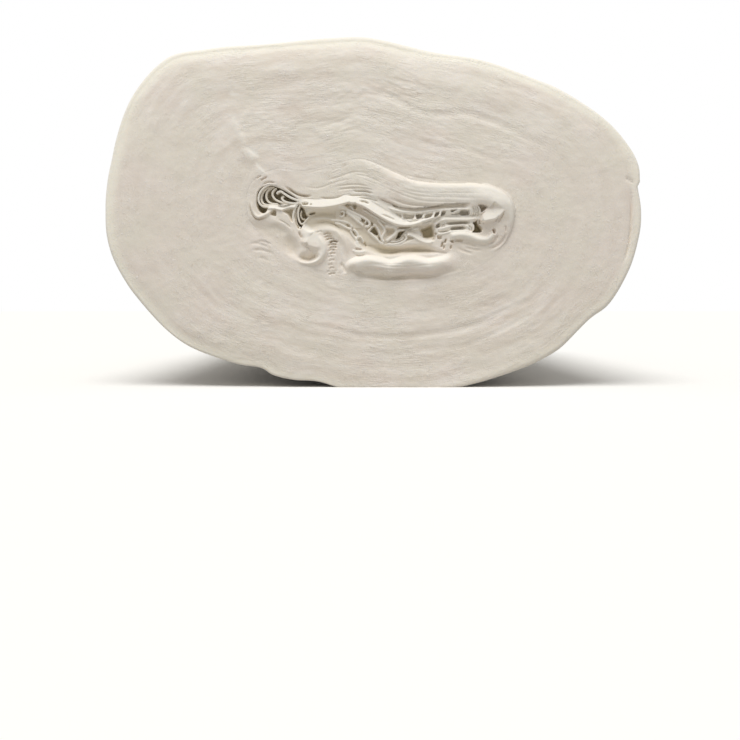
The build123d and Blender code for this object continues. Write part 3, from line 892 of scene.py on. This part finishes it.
def make_body():
    """The wound turns: a grid bent round and sewn both ways."""
    turns, backs, row_layers, row_smooth = zip(*body_rows())
    spots = np.stack(turns, 1)
    along = np.stack(backs, 1)
    layers = np.broadcast_to(row_layers, along.shape)
    smooth = np.broadcast_to(row_smooth, along.shape).copy()
    face = slice(0, face_turns)
    relief, pale_and_highlight = relief_of(spots[:, face].reshape(-1, 2), layers[:, face].ravel())
    fade = 1 - calm_share * smooth_step(calm_from, 1.0, np.linspace(0, 1, face_turns))
    along[:, face] -= relief.reshape(-1, face_turns) * fade
    # the end's paler places are smooth paper and painted highlights
    smooth[:, face] = np.maximum(smooth[:, face], pale_and_highlight.reshape(-1, face_turns))
    end = slice(0, face_turns + rim_rows)
    along[:, end] += lies_back(spots[:, end].reshape(-1, 2)).reshape(turn_points, -1)
    points = np.stack([spots[..., 0], along, spots[..., 1]], -1)
    for row in range(face_turns, side_end):
        for column in range(turn_points):
            point = points[column, row]
            press = dent_in * noise.noise(point / side_dent) + all_in
            press += wrinkle_in * noise.noise(point / side_wrinkle)
            points[column, row, [0, 2]] -= outwards[column] * press * row_smooth[row]
    points[..., 2] = np.maximum(points[..., 2], 0)
    # painted glow: the outer turns are coloured warmer and lighter where light shines through them, most
    # at the top
    loose = smooth_step(loose_from, 1.0, layers / paper_depth) * np.clip(0.5 + roll_off, 0, 1)[:, None]
    body, column, row = add_grid("wound_tissue", turn_points, len(turns))
    column, row = column % turn_points, row % len(turns)
    set_points(body, points[column, row])
    set_patterns(
        body, layers=layers[column, row], smooth_side=smooth[column, row], hollow=0,
        loose=loose[column, row], streaks=streaks_at(spots[column, row]),
    )
    return body


body = make_body()
print(body.name, len(body.data.vertices), "points")

# %% [markdown]
# At the seam the first and last columns of points are one and the same but for the step at the free
# edge. Merging by distance sews them, and then all faces are made to point outwards.

# %% Sew and smooth the body
def edit_whole(piece):
    """Makes a piece the only selected one, in edit mode, with all of it selected."""
    bpy.ops.object.select_all(action="DESELECT")
    piece.select_set(True)
    bpy.context.view_layer.objects.active = piece
    bpy.ops.object.mode_set(mode="EDIT")
    bpy.ops.mesh.select_all(action="SELECT")


sew_distance, sharp_angle = 0.004, 70  # millimetres, degrees
edit_whole(body)
bpy.ops.mesh.remove_doubles(threshold=sew_distance * MM)
bpy.ops.mesh.normals_make_consistent(inside=False)
bpy.ops.object.mode_set(mode="OBJECT")
bpy.ops.object.shade_smooth_by_angle(angle=math.radians(sharp_angle))
print("sewn:", len(body.data.vertices), "points,", len(body.data.polygons), "faces")

# %% [markdown]
# ## The crumpled middle
#
# The folds are only a pixel or two wide in places, much finer than the turns. So the middle is a piece
# of its own: a grid with a point every ninth of a millimetre, lifted by the same relief. It reaches half
# a millimetre under the body, a hair lower, so no gap can show. Its edge is extruded back and closed.
#
# In the crumple the layers run along the folds. A spot's layer there is its distance to the nearest
# crest, so that the fine streaks of the finish follow the beads.

# %% Make the crumpled middle
near_grid, far_grid = 0.115, 0.35  # millimetres between points
overlap = 0.5  # how far the middle reaches under the body
tuck = 0.04  # how much lower it lies there
plug_depth = 9.0
fold_reach, turn_reach = 3.0, 1.2  # how far from a fold its layers go, and the turns' inside the rim
rim_reach = 6.0  # how far in from the rim places are told apart
# The third number scales the far end's paler smooth paper and painted highlights.
far_top, far_relief, far_highlight = 0.2, 0.8, 0.5  # the far end is plainer than the near one
far_calm = 2.0  # how far in from its rim it is calmer still
# The deep gaps' darker, olive colour is painted shade; it is full at this depth.
full_hollow = 2.5  # the depth at which a hollow has its full colour
flow_lines = [form[0] for form in beads + ribbons + folds]
flow_lines += [
    [310, 228, 325, 220, 340, 222, 350, 232, 362, 245],
    [372, 240, 384, 249, 400, 250.5, 420, 249, 436, 251],
    [400, 196, 430, 198, 470, 197, 490, 199, 500, 208],
]


def layers_of_folds(spots, depth):
    """How far each place is from the nearest fold, running on from the turns outside."""
    nearest = np.full(len(spots), fold_reach)
    for line in flow_lines:
        which, distance, _, _ = near_line(spots, smooth_line(line), fold_reach)
        nearest[which] = np.minimum(nearest[which], distance)
    blend = smooth_step(0, turn_reach, depth)
    return -depth * (1 - blend) + nearest * blend


def make_middle(name, step, plane, direction):
    """A grid lifted by the relief, inside the rim of the crumpled middle."""
    rim = rim_line[:-1:3]
    low, high = rim.min(0) - 1, rim.max(0) + 1
    columns, lines = np.ceil((high - low) / step).astype(int)
    middle, column, row = add_grid(name, int(columns), int(lines))
    spots = low + np.stack([column / columns, row / lines], -1) * (high - low)
    depth = depth_inside(spots, rim, rim_reach)
    layers = layers_of_folds(spots, depth)
    # the paler places are smooth paper with painted highlights
    relief, pale_and_highlight = relief_of(spots, layers)
    if direction > 0:
        within = smooth_step(0, far_calm, depth)
        relief, pale_and_highlight = np.minimum(relief, far_top) * far_relief * within, far_highlight * pale_and_highlight * within
    relief -= tuck * (1 - smooth_step(-0.1, 0.3, depth))
    back = lies_back(spots) * (direction < 0)
    set_points(middle, np.stack([spots[:, 0], plane + direction * relief + back, spots[:, 1]], -1))
    # the deep gaps get painted shade, a darker olive colour, by their depth
    set_patterns(
        middle, layers=layers, smooth_side=pale_and_highlight, hollow=np.clip(-relief / full_hollow, 0, 1), loose=0,
        streaks=streaks_at(spots),
    )
    edit_whole(middle)
    bpy.ops.mesh.select_all(action="DESELECT")
    bpy.ops.object.mode_set(mode="OBJECT")
    middle.data.vertices.foreach_set("select", depth <= -overlap)
    bpy.ops.object.mode_set(mode="EDIT")
    bpy.ops.mesh.select_mode(type="VERT")
    bpy.ops.mesh.delete(type="VERT")
    bpy.ops.mesh.select_all(action="SELECT")
    bpy.ops.mesh.region_to_loop()
    back_way = (0, -direction * plug_depth * MM, 0)
    bpy.ops.mesh.extrude_region_move(TRANSFORM_OT_translate={"value": back_way})
    bpy.ops.mesh.edge_face_add()
    bpy.ops.mesh.select_all(action="SELECT")
    bpy.ops.mesh.normals_make_consistent(inside=False)
    bpy.ops.object.mode_set(mode="OBJECT")
    bpy.ops.object.shade_smooth()
    print(name, len(middle.data.vertices), "points")
    return middle


near_middle = make_middle("crumpled_middle", near_grid, near_end, -1)
far_middle = make_middle("crumpled_middle_far", far_grid, far_end, 1)

# %% [markdown]
# ## Single sheets
#
# Here and there one sheet stands alone between two gaps, and we see its edge as a thin pale line. A
# relief would make these ragged, so each is a strip of its own: a grid two points wide, stood along its
# line, made as thick as the real double sheet by Solidify, and rounded at the edge by Bevel.

# %% The single sheets, by the pixels along their edges
eye_thickness, hanging_thickness = 0.42, 0.36  # millimetres, two plies of soft tissue
eye_sheets = [
    # line, height of its edge above the plane of the cut at its start and at its end
    ([306, 200.5, 296, 195.8, 286, 190, 278, 186, 270.5, 184.2, 264.5, 187, 260.3, 191.5, 258.3, 197,
     258.8, 202, 262, 205.6, 268, 206.6, 276, 206.8], 0.0, -0.1),
    ([274, 186.8, 268, 187.3, 263.5, 190.5, 261.2, 195, 260.8, 199, 262.8, 203, 267, 204.6, 275, 205],
     -0.8, -0.4),
    ([271.5, 187.5, 267.5, 190, 265.6, 195, 267, 200, 271, 203, 278, 204], -0.8, -0.5),
    ([276, 187.5, 272.6, 191, 272.2, 195, 275, 199, 281, 202, 290, 204], -0.6, -0.4),
    ([276.5, 193.6, 278, 191.8, 281, 191.3, 284.5, 193.7, 290.5, 197.3, 299, 200.8], -0.3, 0.1),
    ([283.5, 195.6, 281.6, 198, 284.4, 201, 290, 202.8, 298, 203.5], -0.6, 0.0),
]
hanging_sheets = [
    ([297, 204.5, 294.2, 210, 292.9, 216, 293.4, 222, 295.6, 227.5, 298.6, 229.8, 299.9, 226.5],
     0.0, -0.5),
    ([298, 206, 295.9, 212, 295.4, 218, 296.8, 224, 299.4, 227.5], -0.7, -1.1),
    ([300, 204.5, 298, 211, 298.2, 218, 300.3, 222.8, 303, 223.4, 306.2, 219.7, 309, 216.5], -0.2, -0.6),
    ([301.2, 210, 300.3, 214.5, 302, 218.3, 305.5, 219], -0.9, -1.1),
]

# %% [markdown]
# The strips go 5 mm back, deeper than the hollow they stand in, so each grows out of the paper under it.

# %% Make the single sheets
strip_depth = 5.0
# A sheet is painted paler near its front edge and less so further down: its smooth side, and a painted
# highlight that fades into the hollow.
sheet_highlight, sheet_highlight_depth = 0.6, 1.5  # how much of a sheet's smooth side shows, and how far down
bevel_share = 0.35  # the width of the bevel, as a share of the thickness


def make_sheet(name, line, start_height, end_height, thickness):
    """One sheet seen on its edge, along a line of pixels."""
    path = smooth_line(line, 6)
    sheet, index, back = add_grid(name, len(path) - 1, 1)
    proud = start_height + (end_height - start_height) * index / (len(path) - 1)
    along = near_end - proud + back * strip_depth + lies_back(path)[index]
    set_points(sheet, np.stack([path[index, 0], along, path[index, 1]], -1))
    solidify = sheet.modifiers.new("thickness", "SOLIDIFY")
    solidify.thickness = thickness * MM
    solidify.offset = 0
    bevel = sheet.modifiers.new("soft edge", "BEVEL")
    bevel.width = bevel_share * thickness * MM
    bevel.segments = 2
    bevel.limit_method = "ANGLE"
    for modifier in ("thickness", "soft edge"):
        bpy.ops.object.modifier_apply(modifier=modifier)
    bpy.ops.object.shade_smooth_by_angle(angle=math.radians(60))
    depth = points_of(sheet)[:, 1] / MM - near_end
    # painted highlight: paler near the front edge, fading with depth
    side = sheet_highlight * (1 - np.clip(depth / sheet_highlight_depth, 0, 1))
    # deeper down the sheet its colour gets painted shade, as in the gaps
    hollow = np.clip(depth / full_hollow, 0, 1)
    set_patterns(sheet, hollow=hollow, smooth_side=side, layers=0, loose=0, streaks=0)
    return sheet


def join_sheets(name, lines, thickness):
    """All sheets of one group, as one piece."""
    sheets = [make_sheet(name, *line, thickness) for line in lines]
    bpy.ops.object.select_all(action="DESELECT")
    for sheet in sheets:
        sheet.select_set(True)
    bpy.context.view_layer.objects.active = sheets[0]
    bpy.ops.object.join()
    print(name, len(lines), "sheets,", len(sheets[0].data.polygons), "faces")
    return sheets[0]


sheet_groups = [
    join_sheets("eye_sheets", eye_sheets, eye_thickness),
    join_sheets("hanging_sheets", hanging_sheets, hanging_thickness),
]

# %% [markdown]
# ## Finishes
#
# A colour is written as it looks on a screen, in sRGB, and Blender counts in linear light, so one
# function turns one into the other. Another adds a node with its settings and links. The last one tells
# what the camera sees from light that falls on things, for the white floor and background.

# %% Helpers for materials
def linear(code):
    """An sRGB hex colour as linear red, green, blue and alpha."""
    parts = [int(code[i : i + 2], 16) / 255 for i in (1, 3, 5)]
    return [p / 12.92 if p <= 0.04045 else ((p + 0.055) / 1.055) ** 2.4 for p in parts] + [1.0]


def add_node(tree, kind, settings=None, **inputs):
    """Adds a shader node. Inputs go by name or by place: a value, a socket or another node."""
    node = tree.nodes.new("ShaderNode" + kind)
    for name, value in (settings or {}).items():
        setattr(node, name, value)
    sockets = [socket for socket in node.inputs if socket.enabled]
    for name, value in inputs.items():
        by_name = {socket.name: socket for socket in reversed(sockets)}
        socket = sockets[int(name[1:])] if name[0] == "_" else by_name[name.replace("_", " ")]
        if isinstance(value, bpy.types.Node):
            value = next(s for s in value.outputs if s.enabled)
        if isinstance(value, bpy.types.NodeSocket):
            tree.links.new(value, socket)
        else:
            socket.default_value = value
    return node


def new_material(name, **inputs):
    """A material with its tree and its shader, and with some inputs of the shader set by name."""
    material = bpy.data.materials.new(name)
    material.use_nodes = True
    shader = material.node_tree.nodes["Principled BSDF"]
    for key, value in inputs.items():
        shader.inputs[key.replace("_", " ")].default_value = value
    return material, material.node_tree, shader


def seen_rays(tree):
    """1 for what the camera sees, straight or in a glossy or clear thing, and 0 for other light."""
    rays = add_node(tree, "LightPath").outputs
    seen = rays["Is Camera Ray"]
    for name in ("Is Glossy Ray", "Is Transmission Ray"):
        seen = add_node(tree, "Math", {"operation": "MAXIMUM"}, _0=seen, _1=rays[name])
    return seen


# %% [markdown]
# ### Cut and smooth tissue
#
# The real one is soft, uncoated, unbleached tissue, embossed, wound and sawn across with a disc blade.
# It is quite matt, a little light goes into it and comes out again, and the saw leaves loose fibres. On
# the cut end we see the edges of the sheets as short flecks along the turns, some lighter, some darker,
# in patches. On the side we see one smooth sheet with faint fibres and the fine ridges of the creping,
# which run along the roll. They are drawn twice as coarse as they are, or they wouldn't show.
#
# The flecks are a noise of three numbers: two are the place on the end, slow, and the third is the
# layer, quick. So each fleck is 1.5 mm long and a third of a millimetre thick, whichever way the
# turn runs there. A second noise of this kind, much larger, gives soft bands. Where the saw ran across
# the sheets it left faint wisps and small pits instead, in patches; the pits have no relief, and their
# shade is painted on as darker specks. Near the top of the rim the last turns are loose, and the warm
# light that shines through them is painted on as a lighter, warmer colour.

# %% Tissue
fleck_length, fleck_thickness = 1.5, 0.30  # millimetres, as all sizes here
band_length, band_thickness = 12.0, 1.8
crepe_length, crepe_pitch = 7.0, 0.8
fibre_size, patch_size, tone_size, wisp_size = 0.5, 5.0, 11.0, 1.2
side_layers = 0.3  # the outermost paper, which shows the creping
bump_height = 0.25
multiply, multiply_add = {"operation": "MULTIPLY"}, {"operation": "MULTIPLY_ADD"}
colours, numbers = {"data_type": "RGBA"}, {"data_type": "FLOAT"}


def make_tissue():
    """The one material of the roll. Its colours and its bumps follow the patterns of the pieces."""
    material, tree, shader = new_material(
        "soft uncoated tissue", Roughness=0.95, Specular_IOR_Level=0.2, Subsurface_Weight=0.15,
        Subsurface_Radius=(1.0, 0.9, 0.75), Subsurface_Scale=1.2 * MM,
    )
    where = add_node(tree, "TexCoord").outputs["Object"]
    in_mm = add_node(tree, "VectorMath", {"operation": "SCALE"}, Vector=where, Scale=1 / MM)
    x, y, z = add_node(tree, "SeparateXYZ", Vector=in_mm).outputs
    layers, smooth, hollow, loose, streaks = [
        add_node(tree, "Attribute", {"attribute_name": name}).outputs["Fac"]
        for name in ("layers", "smooth_side", "hollow", "loose", "streaks")
    ]
    turned = add_node(tree, "CombineXYZ", X=x, Y=z, Z=layers)
    flecks, bands, crepe = [
        add_node(
            tree, "TexNoise", Scale=1.0, Detail=detail, Roughness=roughness,
            Vector=add_node(tree, "Mapping", Vector=vector, Scale=[1 / size for size in sizes]),
        )
        for vector, sizes, detail, roughness in (
            (turned, (fleck_length, fleck_length, fleck_thickness), 2.5, 0.6),
            (turned, (band_length, band_length, band_thickness), 2.0, 0.5),
            (in_mm, (crepe_pitch, crepe_length, crepe_pitch), 2.0, 0.55),
        )
    ]
    fibres, patches, tones, swirls = [
        add_node(
            tree, "TexNoise", Vector=in_mm, Scale=1 / size, Detail=detail, Roughness=roughness,
            Distortion=distortion,
        )
        for size, detail, roughness, distortion in (
            (fibre_size, 3.0, 0.65, 0.0), (patch_size, 2.0, 0.5, 0.0), (tone_size, 3.0, 0.5, 0.0),
            (wisp_size, 1.5, 0.5, 1.6),
        )
    ]

    patchy = add_node(
        tree, "MapRange", Value=patches, From_Min=0.42, From_Max=0.68, To_Min=0.2, To_Max=0.85
    )
    patchy = add_node(tree, "Math", multiply, _0=patchy, _1=streaks)
    bright = add_node(tree, "MapRange", Value=flecks, From_Min=0.54, From_Max=0.70)
    bright = add_node(tree, "Math", multiply, _0=bright, _1=patchy)
    gathered = add_node(tree, "MapRange", Value=patches, From_Min=0.42, From_Max=0.60, To_Min=0.15)
    wisps = add_node(tree, "Math", {"operation": "SUBTRACT"}, _0=swirls, _1=0.5)
    wisps = add_node(tree, "Math", {"operation": "ABSOLUTE"}, _0=wisps)
    wisps = add_node(tree, "MapRange", Value=wisps, From_Min=0.045, From_Max=0.01)
    broken = add_node(tree, "MapRange", Value=fibres, From_Min=0.50, From_Max=0.62)
    raised = add_node(tree, "Math", multiply, _0=wisps, _1=broken)
    raised = add_node(tree, "Math", multiply, _0=raised, _1=gathered)
    # painted shade: darker specks stand for small pits, which neither the relief nor the bump has
    painted_pit_shade = add_node(tree, "MapRange", Value=swirls, From_Min=0.38, From_Max=0.28, To_Max=0.3)
    painted_pit_shade = add_node(tree, "Math", multiply, _0=painted_pit_shade, _1=gathered)
    banded = add_node(
        tree, "MapRange", Value=bands, From_Min=0.35, From_Max=0.65, To_Min=-0.4, To_Max=0.8
    )
    banded = add_node(tree, "Math", multiply_add, _0=banded, _1=streaks, _2=0.38)
    toned = add_node(tree, "MapRange", Value=tones, From_Min=0.35, From_Max=0.65, To_Max=0.75)

    colour = linear("#E8DDD2")
    # painted glow: the loose outer turns near the top are warmer and lighter
    # painted shade: the deepest places get a darker olive colour
    # the smooth side's colour also paints highlights on crests, folds and leaning sheets
    for share, code in (
        (banded, "#FBF3EB"), (toned, "#EFE9DC"), (bright, "#FAF4EC"), (raised, "#FBF4EE"),
        (painted_pit_shade, "#CBBFAF"), (loose, "#FCF6E9"), (hollow, "#DACFB5"), (smooth, "#F7F2E9"),
    ):
        colour = add_node(tree, "Mix", colours, Factor=share, A=colour, B=linear(code))
    tree.links.new(colour.outputs[2], shader.inputs["Base Color"])

    height = add_node(tree, "Math", multiply, _0=flecks, _1=patchy)
    for part in (fibres, raised):
        height = add_node(tree, "Math", multiply_add, _0=part, _1=0.2, _2=height)
    outside = add_node(
        tree, "MapRange", Value=layers, From_Min=paper_depth - side_layers, From_Max=paper_depth
    )
    crepe = add_node(tree, "Math", multiply, _0=crepe, _1=outside)
    side_height = add_node(tree, "Math", multiply_add, _0=fibres, _1=0.35, _2=crepe)
    height = add_node(tree, "Mix", numbers, Factor=smooth, A=height, B=side_height)
    bump = add_node(tree, "Bump", Strength=0.85, Distance=bump_height * MM, Height=height)
    tree.links.new(bump.outputs[0], shader.inputs["Normal"])
    return material


tissue = make_tissue()
pieces = [body, near_middle, far_middle] + sheet_groups
for piece in pieces:
    piece.data.materials.clear()
    piece.data.materials.append(tissue)
    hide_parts("paper_roll")
    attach(piece, "root")
print("finished pieces:", [piece.name for piece in pieces])

# %% [markdown]
# ## Floor and light
#
# The photograph is a plain studio picture on white: soft light from high above and a little in front,
# and pale surroundings that fill the shadows. A wide sun lamp gives the first, evenly over the whole
# floor, and the world the second. Both the world and the floor are white only where the camera sees
# them, so the background is white without throwing more light on the roll.

# %% The floor
floor_size = 6.0  # metres, wide enough to end out of sight


def make_floor():
    """A wide matt floor, which only catches the roll's shadow."""
    bpy.ops.object.select_all(action="DESELECT")
    bpy.ops.mesh.primitive_plane_add(size=floor_size, location=(0, floor_size / 4, 0))
    floor = new_piece("studio_floor")
    material, tree, shader = new_material("white studio floor", Roughness=1.0, Specular_IOR_Level=0.0)
    colour = add_node(
        tree, "Mix", colours, Factor=seen_rays(tree), A=linear("#BAB8B4"), B=linear("#FBFAF8")
    )
    tree.links.new(colour.outputs[2], shader.inputs["Base Color"])
    floor.data.materials.append(material)


make_floor()

# %% The lights
sky_strength, sun_strength = 0.40, 2.25
sun_width = 40  # degrees across, for soft shadows
sun_lean = (23, -5)  # degrees towards the front and the side


def make_sky():
    """The pale room round the roll, white where the camera sees it."""
    world = bpy.data.worlds.new("pale room")
    bpy.context.scene.world = world
    world.use_nodes = True
    tree = world.node_tree
    tree.nodes.clear()
    level = add_node(tree, "Mix", numbers, Factor=seen_rays(tree), A=sky_strength, B=1.0)
    sky = add_node(tree, "Background", Color=linear("#FFFFFF"), Strength=level)
    add_node(tree, "OutputWorld", Surface=sky)


make_sky()
bpy.ops.object.light_add(type="SUN", location=(0, 0, 1))
key_light = bpy.context.object
key_light.name = "wide_key"
key_light.data.energy = sun_strength
key_light.data.angle = math.radians(sun_width)
key_light.data.color = linear("#FFFEFB")[:3]
key_light.rotation_euler = (math.radians(sun_lean[0]), math.radians(sun_lean[1]), 0)
print("sky", sky_strength, "sun", sun_strength)

# %% [markdown]
# ## Camera
#
# Only the near end shows in the photograph, and its side is hidden behind it, so the camera looks
# squarely along the roll from close by. It is low, about level with the lower third of the roll, and the
# picture is shifted down, which leaves the roll in its upper half.

# %% The camera
picture_size = 740  # pixels, as the next three
focal_pixels = 950
horizon_pixel = 308
eye_column = 370  # the pixel column that the camera looks along
eye_distance = focal_pixels * photo_scale
eye_x, eye_z = place((eye_column, horizon_pixel))[0]
sensor_size = 36  # millimetres, as in most cameras

bpy.ops.object.camera_add(
    location=(eye_x * MM, (near_end - eye_distance) * MM, eye_z * MM), rotation=(math.pi / 2, 0, 0)
)
camera = bpy.context.object
camera.name = "photo_camera"
camera.data.sensor_width = sensor_size
camera.data.lens = sensor_size * focal_pixels / picture_size
camera.data.shift_y = -(picture_size / 2 - horizon_pixel) / picture_size
camera.data.clip_start = 0.01
bpy.context.scene.camera = camera
bpy.context.scene.view_settings.view_transform = "Standard"
print("the camera is", round(eye_distance), "mm in front of the near end,", round(eye_z, 1), "mm up")
